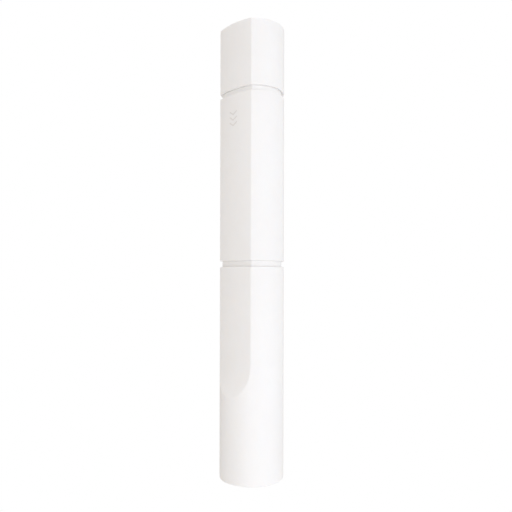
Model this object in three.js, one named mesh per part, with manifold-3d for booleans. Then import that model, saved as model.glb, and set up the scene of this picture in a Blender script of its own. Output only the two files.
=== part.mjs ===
// A fire blanket packed in a slender white tube that hangs on a wall. Millimetres, +Z up.
// The tube is round with one long, slightly crowned facet down its front (-Y). Two ring grooves part it
// into a lift-off cap, a fixed middle shell and a sleeve that is pulled down to bare the blanket.
// Inside the model, Z is measured from the tube's foot and X, Y from its axis. The finished group is then
// moved so that its origin is the middle of the wall bracket's back face.
import * as THREE from "three";
import { mergeVertices } from "three/addons/utils/BufferGeometryUtils.js";
import Module from "manifold-3d";

// ---- Driving dimensions -------------------------------------------------------------------------
const RADIUS = 30; // outer radius of the round side
const HEIGHT = 420; // foot to crown
const FACET_HALF_ANGLE = THREE.MathUtils.degToRad(43.5); // axis to a facet edge, from straight ahead
const FACET_CROWN = 2.5; // how far the facet bulges past the flat between its edges

const SLEEVE_TOP = 197; // lower ring groove: between the sleeve and the middle shell
const MIDDLE_FOOT = 202.4;
const MIDDLE_TOP = 354.5; // upper ring groove: between the middle shell and the cap
const CAP_FOOT = 359.2;

const SHELL_WALL = 2; // wall of the cap, middle shell and sleeve
const FIT_GAP = 0.3; // clearance between pieces that meet
const LINER_WALL = 2;
const LINER_FOOT = 150; // the liner reaches this far down into the sleeve
const RIM_RADIUS = 1.2; // rounding of the crown's and the foot's outer edge
const CROWN_RISE = 1.2; // doming of the cap's top
const CAP_ROOF = 3; // thickness of the cap's top

const SCOOP_FOOT = 78.6; // where the facet has run out through the round side
const SCOOP_RADIUS = 80; // radius of the ramp that carries it out
const SCOOP_OVERRUN = 2.5; // how far past the round side the ramp's cutting surface goes on

const BASE_THICKNESS = 3;
const BASE_RECESS = 1.2; // the base sits this far inside the sleeve's foot
const BASE_RIM_HEIGHT = 9;
const BASE_RIM_WALL = 1.6;
const STOP_RING_HEIGHT = 4;

const RING_HEIGHT = 1.8; // height of the two friction ring seats
const RING_SEAT_DEPTH = 0.9;
const RING_GAP = 0.15; // clearance around a friction ring
const SLEEVE_RING_Z = 168;
const CAP_RING_Z = 380;

const ROLL_HALF_WIDTH = 23.6; // the rolled blanket: oval, off centre towards the wall
const ROLL_HALF_DEPTH = 21.2;
const ROLL_CENTRE_Y = 1.6;
const ROLL_FOOT = 72;
const ROLL_LENGTH = 333; // one metre of cloth folded in three

const TAPE_WIDTH = 20;
const TAPE_THICKNESS = 1.2;
const TAPE_CENTRE_X = 12; // centre of each hanging loop
const TAPE_LEG_SPACING = 11;
const TAPE_FOOT = 14;

const GRIP_PAD_THICKNESS = 1.2;
const GRIP_PAD_HALF_ANGLE = THREE.MathUtils.degToRad(18);
const GRIP_PAD_FOOT = 300;
const GRIP_PAD_LENGTH = 80;
const FOAM_THICKNESS = 8.5;

const BRACKET_HALF_WIDTH = 8;
const BRACKET_BACK = 35; // distance from the tube's axis to the wall
const BRACKET_FOOT = 213;
const BRACKET_LENGTH = 134;
const BRACKET_MIDDLE = BRACKET_FOOT + BRACKET_LENGTH / 2;
const WALL_HOLE_SPACING = 112;
const WALL_HOLE_RADIUS = 2.25;
const WALL_HOLE_SINK_RADIUS = 4.6;
const WALL_HOLE_SINK_DEPTH = 2.2;
const FIXING_SPACING = 84; // between the two screws that hold the tube on its bracket
const SCREW_RADIUS = 1.5;
const SCREW_HEAD_RADIUS = 4;
const SCREW_HEAD_FRONT = 23.2;
const SCREW_HEAD_BACK = 25;
const SCREW_HEAD_CHAMFER = 0.8;
const SCREW_TIP = 33.9;
const SCREW_HOLE_RADIUS = 2.2;
const INSERT_RADIUS = 2.8;
const INSERT_FRONT = 30.7;
const INSERT_BACK = 34;
const PAD_HALF_WIDTH = 5.5;
const PAD_LENGTH = 22;
const PAD_THICKNESS = 0.8;
const PAD_SPACING = 34; // between the middles of the two adhesive pads

const OVERCUT = 2; // how far a cutting solid goes past what it cuts
const ROUND_STEPS = 56; // facets round the D section's round side
const FACET_STEPS = 10; // and across its flat side
const SCOOP_STEPS = 10;
const SLEEVE_STEPS = 80; // facets round the sleeve
const FACET_TURN_STEPS = 132; // and round the whole turned surface that its facet is a part of
const RIM_STEPS = 3;
const DOME_STEPS = 4;
const BEND_STEPS = 12;
const PAD_STEPS = 8;
const ROLL_STEPS = 48;
const PIN_STEPS = 20;

// ---- Worked out from them -----------------------------------------------------------------------
const chordHalf = RADIUS * Math.sin(FACET_HALF_ANGLE);
const FACET_RADIUS = (chordHalf ** 2 + FACET_CROWN ** 2) / (2 * FACET_CROWN);
const FACET_CENTRE_Y = FACET_RADIUS - FACET_CROWN - RADIUS * Math.cos(FACET_HALF_ANGLE);
const LINER_OUTSIDE = SHELL_WALL + FIT_GAP; // insets of the liner's faces from the tube's outside
const LINER_INSIDE = LINER_OUTSIDE + LINER_WALL;
const CAP_CEILING = HEIGHT - CAP_ROOF;
const LINER_TOP = CAP_CEILING - FIT_GAP;
const ROLL_TOP = ROLL_FOOT + ROLL_LENGTH;

// ---- Materials ----------------------------------------------------------------------------------
function material(color, roughness, metalness = 0) {
  return new THREE.MeshStandardMaterial({ color, roughness, metalness });
}
const whitePlastic = material(0xf4f2f2, 0.5);
const linerPlastic = material(0xf0eeed, 0.55);
const rubber = material(0x3a3b3d, 0.8);
const foam = material(0x8f9296, 0.95);
const steel = material(0xb9bcc0, 0.35, 1);
const brass = material(0xc9a24d, 0.35, 1);
const glassCloth = material(0xece8df, 0.85);
const webbing = material(0x2c2d30, 0.9);

// ---- Solids: joining, cutting, and turning back into geometry -----------------------------------
const wasm = await Module();
wasm.setup();

function solid(geometry) {
  const bare = geometry.clone();
  bare.deleteAttribute("normal");
  bare.deleteAttribute("uv");
  const merged = mergeVertices(bare, 1e-3);
  const vertProperties = new Float32Array(merged.attributes.position.array);
  const triVerts = new Uint32Array(merged.index.array);
  return new wasm.Manifold(new wasm.Mesh({ numProp: 3, vertProperties, triVerts }));
}

function geometryOf(body) {
  const mesh = body.getMesh();
  const geometry = new THREE.BufferGeometry();
  geometry.setAttribute("position", new THREE.BufferAttribute(mesh.vertProperties, 3));
  geometry.setIndex(new THREE.BufferAttribute(mesh.triVerts, 1));
  geometry.computeVertexNormals();
  return geometry;
}

// ---- Shapes -------------------------------------------------------------------------------------
// The tube's section, drawn in by inset: the part of a circle that lies inside the facet's larger one.
function sectionPoints(inset) {
  const round = RADIUS - inset;
  const facet = FACET_RADIUS - inset;
  const cornerY = (round ** 2 - facet ** 2 + FACET_CENTRE_Y ** 2) / (2 * FACET_CENTRE_Y);
  const cornerX = Math.sqrt(round ** 2 - cornerY ** 2);
  const corner = Math.atan2(cornerY, cornerX);
  const sweep = Math.asin(cornerX / facet);
  const ahead = -Math.PI / 2;
  const side = new THREE.EllipseCurve(0, 0, round, round, corner, Math.PI - corner);
  const front = new THREE.EllipseCurve(0, FACET_CENTRE_Y, facet, facet, ahead - sweep, ahead + sweep);
  return [...side.getPoints(ROUND_STEPS), ...front.getPoints(FACET_STEPS).slice(1, -1)];
}

function prism(shape, foot, top) {
  const geometry = new THREE.ExtrudeGeometry(shape, {
    depth: top - foot,
    bevelEnabled: false,
    curveSegments: PIN_STEPS,
  });
  return geometry.translate(0, 0, foot);
}

function section(inset, foot, top) {
  return prism(new THREE.Shape(sectionPoints(inset)), foot, top);
}

// A tube of the section, from one inset in to another.
function sectionTube(outside, inside, foot, top) {
  const shape = new THREE.Shape(sectionPoints(outside));
  shape.holes.push(new THREE.Path(sectionPoints(inside)));
  return prism(shape, foot, top);
}

// A solid turned about a vertical line through (0, centreY); the profile's points are (radius, height).
function turned(profile, centreY, steps) {
  const points = profile.map(([r, z]) => new THREE.Vector2(r, z));
  return new THREE.LatheGeometry(points, steps).rotateX(Math.PI / 2).translate(0, centreY, 0);
}

// Points of an arc in the (radius, height) plane, its angles in degrees.
function arc(r, z, radius, from, to, steps) {
  const start = THREE.MathUtils.degToRad(from);
  const end = THREE.MathUtils.degToRad(to);
  const curve = new THREE.EllipseCurve(r, z, radius, radius, start, end, end < start);
  return curve.getPoints(steps).map((p) => [p.x, p.y]);
}

// A round bar from front to back of the tube, at one height on its middle line.
function bar(radius, front, back, z, endRadius = radius) {
  const geometry = new THREE.CylinderGeometry(endRadius, radius, back - front, PIN_STEPS);
  return geometry.translate(0, (front + back) / 2, z);
}

function block(halfWidth, front, back, foot, top) {
  const geometry = new THREE.BoxGeometry(2 * halfWidth, back - front, top - foot);
  return geometry.translate(0, (front + back) / 2, (foot + top) / 2);
}

// ---- Pieces -------------------------------------------------------------------------------------
const group = new THREE.Group();
const tube = new THREE.Group();
tube.position.set(0, -BRACKET_BACK, -BRACKET_MIDDLE);
group.add(tube);

function add(parent, name, geometry, look) {
  const mesh = new THREE.Mesh(geometry, look);
  mesh.name = name;
  parent.add(mesh);
}

const fixingHeights = {
  lower: BRACKET_MIDDLE - FIXING_SPACING / 2,
  upper: BRACKET_MIDDLE + FIXING_SPACING / 2,
};

const padHeights = [BRACKET_MIDDLE - PAD_SPACING / 2, BRACKET_MIDDLE + PAD_SPACING / 2];

// Holes for the two fixing screws, through the back wall of whatever they are cut from.
function withFixingHoles(body) {
  return Object.values(fixingHeights).reduce(
    (cut, z) => cut.subtract(solid(bar(SCREW_HOLE_RADIUS, SCREW_HEAD_FRONT, RADIUS + OVERCUT, z))),
    body,
  );
}

// Top cap: a deep lid with a rounded rim and a slightly domed top, open below.
function topCap() {
  const blank = new THREE.ExtrudeGeometry(new THREE.Shape(sectionPoints(RIM_RADIUS)), {
    depth: HEIGHT - CAP_FOOT,
    bevelEnabled: true,
    bevelThickness: RIM_RADIUS,
    bevelSize: RIM_RADIUS,
    bevelSegments: RIM_STEPS,
  });
  blank.translate(0, 0, CAP_FOOT - RIM_RADIUS);
  const domeRadius = (RADIUS ** 2 + CROWN_RISE ** 2) / (2 * CROWN_RISE);
  const reach = THREE.MathUtils.radToDeg(Math.asin((RADIUS + RIM_RADIUS) / domeRadius));
  const crown = arc(0, HEIGHT - domeRadius, domeRadius, 90 - reach, 90, DOME_STEPS);
  crown[crown.length - 1][0] = 0;
  const room = turned([[0, CAP_FOOT], [crown[0][0], CAP_FOOT], ...crown], 0, ROUND_STEPS);
  const inside = section(SHELL_WALL, CAP_FOOT - OVERCUT, CAP_CEILING);
  return geometryOf(solid(blank).intersect(solid(room)).subtract(solid(inside)));
}

// Middle shell: an open tube that hides the liner, with the two screw holes in its back.
function middleShell() {
  const shell = solid(sectionTube(0, SHELL_WALL, MIDDLE_FOOT, MIDDLE_TOP));
  return geometryOf(withFixingHoles(shell));
}

// Liner: the inner tube that carries the other pieces and shows as the floor of both grooves.
function innerLiner() {
  let liner = solid(sectionTube(LINER_OUTSIDE, LINER_INSIDE, LINER_FOOT, LINER_TOP));
  for (const z of [SLEEVE_RING_Z, CAP_RING_Z]) {
    const seat = sectionTube(SHELL_WALL, LINER_OUTSIDE + RING_SEAT_DEPTH, z, z + RING_HEIGHT);
    liner = liner.subtract(solid(seat));
  }
  return geometryOf(withFixingHoles(liner));
}

// A rubber ring in a seat of the liner, which the sleeve or the cap grips by friction.
function frictionRing(seatFoot) {
  const outside = SHELL_WALL + RING_GAP;
  const inside = LINER_OUTSIDE + RING_SEAT_DEPTH - RING_GAP;
  return sectionTube(outside, inside, seatFoot + RING_GAP, seatFoot + RING_HEIGHT - RING_GAP);
}

// The space inside the facet's surface where it ramps out through the round side, drawn in by inset.
function facetSpace(inset, foot, top) {
  const radius = FACET_RADIUS - inset;
  const runOut = RADIUS + FACET_CENTRE_Y - FACET_RADIUS;
  const ramp = (depth) => Math.sqrt(2 * SCOOP_RADIUS * depth - depth ** 2);
  const rampTop = SCOOP_FOOT + ramp(runOut);
  const rampDepth = runOut + SCOOP_OVERRUN;
  const swing = THREE.MathUtils.radToDeg(Math.asin(ramp(rampDepth) / SCOOP_RADIUS));
  const centre = radius + SCOOP_RADIUS;
  const rampLine = arc(centre, rampTop, SCOOP_RADIUS, 180 + swing, 180, SCOOP_STEPS);
  const reach = rampLine[0][0];
  const profile = [[0, foot], [reach, foot], ...rampLine, [radius, top], [0, top]];
  return turned(profile, FACET_CENTRE_Y, FACET_TURN_STEPS);
}

// Pull sleeve: round at its foot, D-shaped above the scoop, open at both ends.
function pullSleeve() {
  const foot = arc(RADIUS - RIM_RADIUS, RIM_RADIUS, RIM_RADIUS, -90, 0, RIM_STEPS);
  const round = turned([[0, 0], ...foot, [RADIUS, SLEEVE_TOP], [0, SLEEVE_TOP]], 0, SLEEVE_STEPS);
  const inner = RADIUS - SHELL_WALL;
  const low = -OVERCUT;
  const high = SLEEVE_TOP + OVERCUT;
  const bore = turned([[0, low], [inner, low], [inner, high], [0, high]], 0, SLEEVE_STEPS);
  const outside = solid(round).intersect(solid(facetSpace(0, low, high)));
  const inside = solid(bore).intersect(solid(facetSpace(SHELL_WALL, 2 * low, 2 * high)));
  return geometryOf(outside.subtract(inside));
}

// Base: a shallow round dish that closes the sleeve's foot.
function baseCap() {
  const radius = RADIUS - SHELL_WALL - FIT_GAP;
  const floor = BASE_RECESS + BASE_THICKNESS;
  const top = BASE_RECESS + BASE_RIM_HEIGHT;
  const profile = [
    [0, BASE_RECESS],
    [radius, BASE_RECESS],
    [radius, top],
    [radius - BASE_RIM_WALL, top],
    [radius - BASE_RIM_WALL, floor],
    [0, floor],
  ];
  return turned(profile, 0, ROUND_STEPS);
}

// Stop ring: bonded inside the sleeve, it meets the liner's foot and so sets the lower groove's height.
function stopRing() {
  const top = LINER_FOOT - FIT_GAP;
  return sectionTube(LINER_OUTSIDE, LINER_INSIDE, top - STOP_RING_HEIGHT, top);
}

// A foam strip inside the liner that holds the roll by friction; side is 1 on +X and -1 on -X.
function gripPad(side) {
  const outer = RADIUS - LINER_INSIDE - FIT_GAP;
  const inner = outer - GRIP_PAD_THICKNESS;
  const middle = side > 0 ? 0 : Math.PI;
  const start = middle - GRIP_PAD_HALF_ANGLE;
  const end = middle + GRIP_PAD_HALF_ANGLE;
  const outline = [
    ...new THREE.EllipseCurve(0, 0, outer, outer, start, end).getPoints(PAD_STEPS),
    ...new THREE.EllipseCurve(0, 0, inner, inner, end, start, true).getPoints(PAD_STEPS),
  ];
  return prism(new THREE.Shape(outline), GRIP_PAD_FOOT, GRIP_PAD_FOOT + GRIP_PAD_LENGTH);
}

// The rolled blanket as one oval bar.
function blanketRoll() {
  const oval = new THREE.EllipseCurve(0, ROLL_CENTRE_Y, ROLL_HALF_WIDTH, ROLL_HALF_DEPTH, 0, 2 * Math.PI);
  return prism(new THREE.Shape(oval.getPoints(ROLL_STEPS).slice(0, -1)), ROLL_FOOT, ROLL_TOP);
}

// A webbing loop that hangs from the roll's lower end: two legs and a round bottom, flat across Y.
function pullTape(centreX) {
  const outer = (TAPE_LEG_SPACING + TAPE_THICKNESS) / 2;
  const inner = outer - TAPE_THICKNESS;
  const top = ROLL_FOOT - FIT_GAP;
  const bend = TAPE_FOOT + outer;
  const outline = new THREE.Shape([
    new THREE.Vector2(-outer, top),
    ...new THREE.EllipseCurve(0, bend, outer, outer, Math.PI, 2 * Math.PI).getPoints(BEND_STEPS),
    new THREE.Vector2(outer, top),
    new THREE.Vector2(inner, top),
    ...new THREE.EllipseCurve(0, bend, inner, inner, 2 * Math.PI, Math.PI, true).getPoints(BEND_STEPS),
    new THREE.Vector2(-inner, top),
  ]);
  const geometry = prism(outline, -TAPE_WIDTH / 2, TAPE_WIDTH / 2);
  return geometry.rotateX(Math.PI / 2).translate(centreX, ROLL_CENTRE_Y, 0);
}

// Wall bracket: a bar with a hollowed front that cradles the middle shell. Two countersunk holes take the
// wall screws, two blind ones the brass inserts, and two shallow recesses in its back the adhesive pads.
function wallBracket() {
  const top = BRACKET_FOOT + BRACKET_LENGTH;
  const cradle = RADIUS + FIT_GAP;
  const shell = turned([[0, 0], [cradle, 0], [cradle, HEIGHT], [0, HEIGHT]], 0, 2 * ROUND_STEPS);
  const front = RADIUS - OVERCUT;
  const behind = BRACKET_BACK + OVERCUT;
  const cuts = [shell];
  for (const side of [-1, 1]) {
    const z = BRACKET_MIDDLE + (side * WALL_HOLE_SPACING) / 2;
    cuts.push(bar(WALL_HOLE_RADIUS, front, behind, z));
    cuts.push(bar(WALL_HOLE_SINK_RADIUS, cradle - 1, cradle + WALL_HOLE_SINK_DEPTH, z, WALL_HOLE_RADIUS));
  }
  for (const z of Object.values(fixingHeights)) {
    cuts.push(bar(INSERT_RADIUS + FIT_GAP, front, INSERT_BACK + FIT_GAP, z));
  }
  for (const z of padHeights) {
    const deep = BRACKET_BACK - PAD_THICKNESS - FIT_GAP;
    const half = PAD_LENGTH / 2 + FIT_GAP;
    cuts.push(block(PAD_HALF_WIDTH + FIT_GAP, deep, behind, z - half, z + half));
  }
  const blank = solid(block(BRACKET_HALF_WIDTH, front, BRACKET_BACK, BRACKET_FOOT, top));
  return geometryOf(cuts.reduce((bracket, cut) => bracket.subtract(solid(cut)), blank));
}

function adhesivePad(z) {
  const front = BRACKET_BACK - PAD_THICKNESS;
  return block(PAD_HALF_WIDTH, front, BRACKET_BACK, z - PAD_LENGTH / 2, z + PAD_LENGTH / 2);
}

// Screw: a low head inside the liner and a shank through liner, shell and insert.
function fixingScrew(z) {
  const profile = [
    [0, SCREW_HEAD_FRONT],
    [SCREW_HEAD_RADIUS - SCREW_HEAD_CHAMFER, SCREW_HEAD_FRONT],
    [SCREW_HEAD_RADIUS, SCREW_HEAD_FRONT + SCREW_HEAD_CHAMFER],
    [SCREW_HEAD_RADIUS, SCREW_HEAD_BACK],
    [SCREW_RADIUS, SCREW_HEAD_BACK],
    [SCREW_RADIUS, SCREW_TIP],
    [0, SCREW_TIP],
  ];
  return turned(profile, 0, PIN_STEPS).rotateX(-Math.PI / 2).translate(0, 0, z);
}

// Insert: a brass bush set in the bracket, bored for the screw.
function insert(z) {
  const bore = SCREW_RADIUS + FIT_GAP;
  const profile = [
    [bore, INSERT_FRONT],
    [INSERT_RADIUS, INSERT_FRONT],
    [INSERT_RADIUS, INSERT_BACK],
    [bore, INSERT_BACK],
    [bore, INSERT_FRONT],
  ];
  return turned(profile, 0, PIN_STEPS).rotateX(-Math.PI / 2).translate(0, 0, z);
}

// ---- Assembly: what stays on the wall -----------------------------------------------------------
const fixed = new THREE.Group();
tube.add(fixed);
add(fixed, "middle_shell", middleShell(), whitePlastic);
add(fixed, "inner_liner", innerLiner(), linerPlastic);
add(fixed, "sleeve_friction_ring", frictionRing(SLEEVE_RING_Z), rubber);
add(fixed, "cap_friction_ring", frictionRing(CAP_RING_Z), rubber);
add(fixed, "grip_pad_left", gripPad(-1), foam);
add(fixed, "grip_pad_right", gripPad(1), foam);
add(fixed, "wall_bracket", wallBracket(), whitePlastic);
for (const [place, z] of Object.entries(fixingHeights)) {
  add(fixed, "bracket_screw_" + place, fixingScrew(z), steel);
  add(fixed, "bracket_insert_" + place, insert(z), brass);
}
const [lowerPad, upperPad] = padHeights;
add(fixed, "adhesive_pad_lower", adhesivePad(lowerPad), foam);
add(fixed, "adhesive_pad_upper", adhesivePad(upperPad), foam);

// ---- The cap, which lifts off -------------------------------------------------------------------
const cap = new THREE.Group();
tube.add(cap);
add(cap, "top_cap", topCap(), whitePlastic);
const foamTop = CAP_CEILING - FIT_GAP;
add(cap, "cap_foam_disc", section(LINER_INSIDE + FIT_GAP, foamTop - FOAM_THICKNESS, foamTop), foam);

// ---- The blanket, which is drawn down out of the liner ------------------------------------------
const blanket = new THREE.Group();
tube.add(blanket);
add(blanket, "blanket_roll", blanketRoll(), glassCloth);
add(blanket, "pull_tape_left", pullTape(-TAPE_CENTRE_X), webbing);
add(blanket, "pull_tape_right", pullTape(TAPE_CENTRE_X), webbing);

// ---- The sleeve, which is pulled down off the liner ---------------------------------------------
const sleeve = new THREE.Group();
tube.add(sleeve);
add(sleeve, "pull_sleeve", pullSleeve(), whitePlastic);
add(sleeve, "sleeve_stop_ring", stopRing(), linerPlastic);
add(sleeve, "base_cap", baseCap(), whitePlastic);

export default group;
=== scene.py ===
"""Looks for the fire blanket in its slim wall tube.

Fine shells, the rolled glass cloth with its pull loops, foam, rubber rings and a studio. Everything is
in metres in the CAD's own frame. Sizes that the CAD fixes are read from its nodes' boxes.
"""

import math

import bpy
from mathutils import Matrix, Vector, noise


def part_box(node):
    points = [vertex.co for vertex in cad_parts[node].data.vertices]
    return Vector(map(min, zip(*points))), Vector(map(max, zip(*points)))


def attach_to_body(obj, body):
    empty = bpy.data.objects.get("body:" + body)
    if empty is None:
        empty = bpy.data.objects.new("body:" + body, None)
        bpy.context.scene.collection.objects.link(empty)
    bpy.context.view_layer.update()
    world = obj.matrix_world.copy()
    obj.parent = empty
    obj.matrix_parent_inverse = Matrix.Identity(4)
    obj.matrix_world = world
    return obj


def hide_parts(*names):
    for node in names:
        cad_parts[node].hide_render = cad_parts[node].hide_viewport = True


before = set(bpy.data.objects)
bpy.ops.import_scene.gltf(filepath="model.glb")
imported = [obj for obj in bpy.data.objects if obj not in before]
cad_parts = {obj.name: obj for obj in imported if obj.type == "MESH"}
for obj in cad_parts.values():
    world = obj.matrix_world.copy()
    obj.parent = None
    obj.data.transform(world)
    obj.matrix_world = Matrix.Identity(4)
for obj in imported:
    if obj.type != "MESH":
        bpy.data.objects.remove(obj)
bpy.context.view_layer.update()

MM = 0.001

# ---- Sizes from the frame --------------------------------
sleeve_low, sleeve_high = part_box("pull_sleeve")
middle_low, middle_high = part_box("middle_shell")
cap_low, cap_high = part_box("top_cap")
liner_low, liner_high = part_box("inner_liner")
roll_low, roll_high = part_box("blanket_roll")

RADIUS = (sleeve_high.x - sleeve_low.x) / 2
AXIS_Y = (sleeve_low.y + sleeve_high.y) / 2
FOOT = sleeve_low.z
TOP = cap_high.z

# ---- Sizes shared with the CAD ---------------------------
FACET_HALF_ANGLE = math.radians(43.5)
FACET_CROWN = 2.5 * MM
SHELL_WALL = 2.0 * MM
LINER_INSET = 2.3 * MM
LINER_WALL = 2.0 * MM
CAP_ROOF = 3.0 * MM
CROWN_RISE = 1.2 * MM
RIM_RADIUS = 1.2 * MM
SCOOP_FOOT = FOOT + 78.6 * MM
SCOOP_RADIUS = 80.0 * MM
RING_SEAT_HEIGHT = 1.8 * MM
RING_SEAT_DEPTH = 0.9 * MM
CLOTH_SIDE = 1.0
CLOTH_LAYERS = 3
TAPE_THICKNESS = 1.2 * MM

# The facet is an arc of a large circle, and the scoop an arc that lifts it out through the round side.
chord_half = RADIUS * math.sin(FACET_HALF_ANGLE)
FACET_RADIUS = (chord_half**2 + FACET_CROWN**2) / (2 * FACET_CROWN)
FACET_CENTRE = FACET_RADIUS - FACET_CROWN - RADIUS * math.cos(FACET_HALF_ANGLE)
RUN_OUT = RADIUS + FACET_CENTRE - FACET_RADIUS
RAMP_TOP = SCOOP_FOOT + math.sqrt(2 * SCOOP_RADIUS * RUN_OUT - RUN_OUT**2)

# ---- Finer shape than the CAD's --------------------------
EDGE_SOFTNESS = 0.34 * MM  # how far either side of a facet edge the two faces melt together
SMALL_ROUND = 0.45 * MM  # rounding of most edges
LIP_ROUND = 0.12 * MM  # rounding of the shells' inner edges, where they close on the liner
CAP_ROUND = 0.65 * MM  # rounding of the cap's rim, crisper than the CAD's RIM_RADIUS
OUTER_SUPPORT = 0.8 * MM  # from a rounding to the ring that keeps the flat wall beside it flat
INNER_SUPPORT = 0.6 * MM
RING_GAP = 0.12 * MM  # a rubber ring's distance from its seat and from the shell round it
CLOTH_THICKNESS = 0.4 * MM
HEM_THICKNESS = 0.3 * MM
HEM_WIDTH = 12 * MM
FOOT_HEM_WIDTH = 10 * MM
HEM_LIFT = 0.34 * MM  # how far the end hem's middle stands off the cloth
FOOT_HEM_SHARE = 0.9  # the foot hem's lift, as a share of the end hem's
EDGE_SHARE = 0.1  # the lift along a hem's edges, likewise
STITCH_PITCH = 3.4 * MM
THREAD_LIFT = 0.05 * MM
PAPER_THICKNESS = 0.1 * MM
SIDES = (("left", -1), ("right", 1))

scene = bpy.context.scene


# ---- Camera and studio -----------------------------------
def make_camera():
    """The photograph's view: level, from the front right, with the photograph's own slight lean."""
    azimuth = math.radians(45.5)
    lean = -0.0023
    distance = 17.8 * RADIUS
    eye = FOOT + 6.27 * RADIUS
    data = bpy.data.cameras.new("camera")
    data.lens = 39.85
    data.sensor_width = 36.0
    data.shift_x = 0.0081
    data.shift_y = 0.040
    data.clip_start = 0.01
    data.clip_end = 50.0
    camera = bpy.data.objects.new("camera", data)
    camera.location = (
        distance * math.sin(azimuth),
        AXIS_Y - distance * math.cos(azimuth),
        eye,
    )
    camera.rotation_euler = (math.radians(90), lean, azimuth)
    scene.collection.objects.link(camera)
    scene.camera = camera


def area_light(name, azimuth, elevation, distance, size, power, tint):
    """A soft box that looks at the tube's middle; azimuth 0 is in front of the facet and 90 on +X."""
    data = bpy.data.lights.new(name, "AREA")
    data.shape = "RECTANGLE"
    data.size, data.size_y = size
    data.energy = power
    data.color = tint
    a, e = math.radians(azimuth), math.radians(elevation)
    way = Vector((math.sin(a) * math.cos(e), -math.cos(a) * math.cos(e), math.sin(e)))
    lamp = bpy.data.objects.new(name, data)
    middle = Vector((0, AXIS_Y, (FOOT + TOP) / 2))
    lamp.location = middle + way * distance
    lamp.rotation_euler = way.to_track_quat("Z", "Y").to_euler()
    lamp.visible_camera = False
    scene.collection.objects.link(lamp)


def make_studio():
    """Soft boxes in a warm ambient light, with a plain white backdrop that only the camera sees."""
    world = bpy.data.worlds.new("studio")
    scene.world = world
    world.use_nodes = True
    tree = world.node_tree
    links = tree.links
    tree.nodes.clear()
    output = node(tree, "ShaderNodeOutputWorld")
    mix = node(tree, "ShaderNodeMixShader")
    rays = node(tree, "ShaderNodeLightPath")
    ambient = node(tree, "ShaderNodeBackground", Color=(1.0, 0.95, 0.89, 1), Strength=0.645)
    backdrop = node(tree, "ShaderNodeBackground", Color=(1, 1, 1, 1), Strength=1.0)
    links.new(rays.outputs["Is Camera Ray"], mix.inputs["Fac"])
    links.new(ambient.outputs[0], mix.inputs[1])
    links.new(backdrop.outputs[0], mix.inputs[2])
    links.new(mix.outputs[0], output.inputs["Surface"])
    scene.view_settings.view_transform = "Standard"
    area_light("key", 98, -3, 1.6, (1.2, 1.6), 6.8, (0.76, 0.86, 1.0))
    area_light("fill", 40, 2, 1.8, (1.0, 1.5), 6.9, (0.88, 0.92, 1.0))
    area_light("bounce", 45, -48, 1.3, (1.2, 1.2), 3.0, (1.0, 0.97, 0.95))
    area_light("overhead", 0, 89, 1.7, (1.6, 1.6), 11.0, (0.92, 0.95, 1.0))
    area_light("back", 170, 6, 1.8, (0.9, 1.4), 3.0, (0.88, 0.93, 1.0))
    area_light("left_back", 240, 12, 1.8, (0.9, 1.4), 3.2, (0.96, 0.97, 1.0))


def make_floor():
    """A pale round floor, far enough below that the sleeve and blanket can come down free of it."""
    drop, radius, sides = 0.62, 1.15, 96
    rim = []
    for i in range(sides):
        turn = 2 * math.pi * i / sides
        rim.append((radius * math.cos(turn), AXIS_Y + radius * math.sin(turn), FOOT - drop))
    floor = make_object("floor", rim, [list(range(sides))], floor_material(), smooth=False)


# ---- Mesh helpers ----------------------------------------
def make_object(name, points, faces, material, smooth=True):
    mesh = bpy.data.meshes.new(name)
    mesh.from_pydata([tuple(p) for p in points], [], faces)
    mesh.update()
    if smooth:
        mesh.shade_smooth()
    mesh.materials.append(material)
    made = bpy.data.objects.new(name, mesh)
    scene.collection.objects.link(made)
    return made


def lofted(name, rings, material, closed=False, ends=False):
    """A skin over rings of equally many points.

    closed joins the last ring to the first, and ends fills both with a fan.
    """
    count = len(rings[0])
    points = [p for ring in rings for p in ring]
    faces = []
    for r in range(len(rings) if closed else len(rings) - 1):
        low, high = r * count, ((r + 1) % len(rings)) * count
        for c in range(count):
            d = (c + 1) % count
            faces.append((low + c, low + d, high + d, high + c))
    if ends:
        for ring_index, turned_over in ((0, True), (len(rings) - 1, False)):
            centre = sum((Vector(p) for p in rings[ring_index]), Vector()) / count
            points.append(centre)
            hub = len(points) - 1
            first = ring_index * count
            for c in range(count):
                a, b = first + c, first + (c + 1) % count
                faces.append((hub, b, a) if turned_over else (hub, a, b))
    return make_object(name, points, faces, material)


def quarter(steps, start=0):
    """Angles in radians over a quarter turn from start degrees, both ends included."""
    return [math.radians(start + 90 * i / steps) for i in range(steps + 1)]


def rounding(inset, z, across, up, steps, turned_over=False):
    """(inset, z) round a corner; across and up are the rounding's signed sizes from the sharp corner.

    It runs from the corner's level side to its upright side, or back when turned_over.
    """
    rows = []
    for t in quarter(steps):
        level, upright = 1 - math.sin(t), 1 - math.cos(t)
        if turned_over:
            level, upright = upright, level
        rows.append((inset + across * level, z + up * upright))
    return rows


# ---- The tube's section ----------------------------------
def scoop_depth(z):
    """How far the facet's surface has moved out at this height."""
    below_the_ramp = 0.6 * SCOOP_RADIUS
    outside_the_tube = 3 * RUN_OUT
    drop = RAMP_TOP - z
    if drop <= 0:
        return 0.0
    if drop >= below_the_ramp:
        return outside_the_tube
    return SCOOP_RADIUS - math.sqrt(SCOOP_RADIUS**2 - drop**2)


def corner_angle(depth):
    """The half angle of what is left of the facet when its surface has moved out by depth."""
    reach = FACET_RADIUS + depth
    height = (reach**2 - FACET_CENTRE**2 - RADIUS**2) / (2 * FACET_CENTRE * RADIUS)
    return math.acos(min(1.0, height))


def soft_min(a, b, softness):
    overlap = max(softness - abs(a - b), 0) / softness
    return min(a, b) - overlap**2 * softness / 4


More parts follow.
